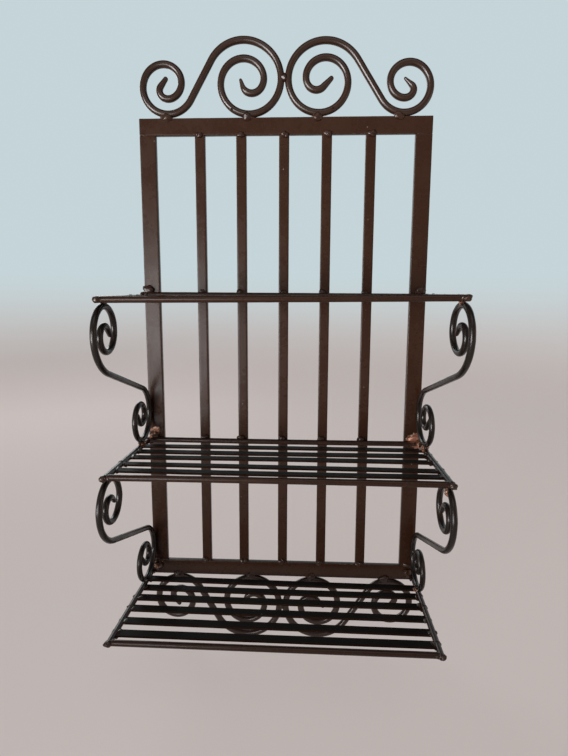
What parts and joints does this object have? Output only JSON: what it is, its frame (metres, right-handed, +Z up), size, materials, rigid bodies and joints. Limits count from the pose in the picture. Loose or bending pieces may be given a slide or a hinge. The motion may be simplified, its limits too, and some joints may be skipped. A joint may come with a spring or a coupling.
{
  "type": "metal wall shelf",
  "caption": "Welded iron wall shelf: a barred back panel with scrolled crest and drop, slatted shelves and S-scroll side brackets, painted dark brown.",
  "frame": {"origin": "centre of the top rail's back face, in the plane of the wall", "axes": "+Y into the wall, +Z up, +X to the right as seen from the front"},
  "size_m": [0.3473, 0.166, 0.7204],
  "materials": {
    "panel": "semi-gloss",
    "scroll": "semi-gloss",
    "shelf": "semi-gloss",
    "bracket": "semi-gloss",
    "weld": "rough"
  },
  "bodies": {
    "root": {"top_rail": "panel", "bottom_rail": "panel", "left_stile": "panel", "right_stile": "panel", "picket_1": "panel", "picket_2": "panel", "picket_3": "panel", "picket_4": "panel", "picket_5": "panel", "crest_scroll_left": "scroll", "crest_scroll_right": "scroll", "drop_scroll_left": "scroll", "drop_scroll_right": "scroll", "bracket_upper_left": "bracket", "bracket_upper_right": "bracket", "bracket_lower_left": "bracket", "bracket_lower_right": "bracket", "top_shelf_side_left": "shelf", "top_shelf_side_right": "shelf", "top_shelf_bar_1": "shelf", "top_shelf_bar_2": "shelf", "top_shelf_bar_3": "shelf", "top_shelf_bar_4": "shelf", "top_shelf_bar_5": "shelf", "top_shelf_bar_6": "shelf", "top_shelf_bar_7": "shelf", "middle_shelf_side_left": "shelf", "middle_shelf_side_right": "shelf", "middle_shelf_bar_1": "shelf", "middle_shelf_bar_2": "shelf", "middle_shelf_bar_3": "shelf", "middle_shelf_bar_4": "shelf", "middle_shelf_bar_5": "shelf", "middle_shelf_bar_6": "shelf", "middle_shelf_bar_7": "shelf", "bottom_shelf_side_left": "shelf", "bottom_shelf_side_right": "shelf", "bottom_shelf_bar_1": "shelf", "bottom_shelf_bar_2": "shelf", "bottom_shelf_bar_3": "shelf", "bottom_shelf_bar_4": "shelf", "bottom_shelf_bar_5": "shelf", "bottom_shelf_bar_6": "shelf", "bottom_shelf_bar_7": "shelf", "foot_weld_upper_left": "weld", "foot_weld_upper_right": "weld"}
  },
  "joints": []
}
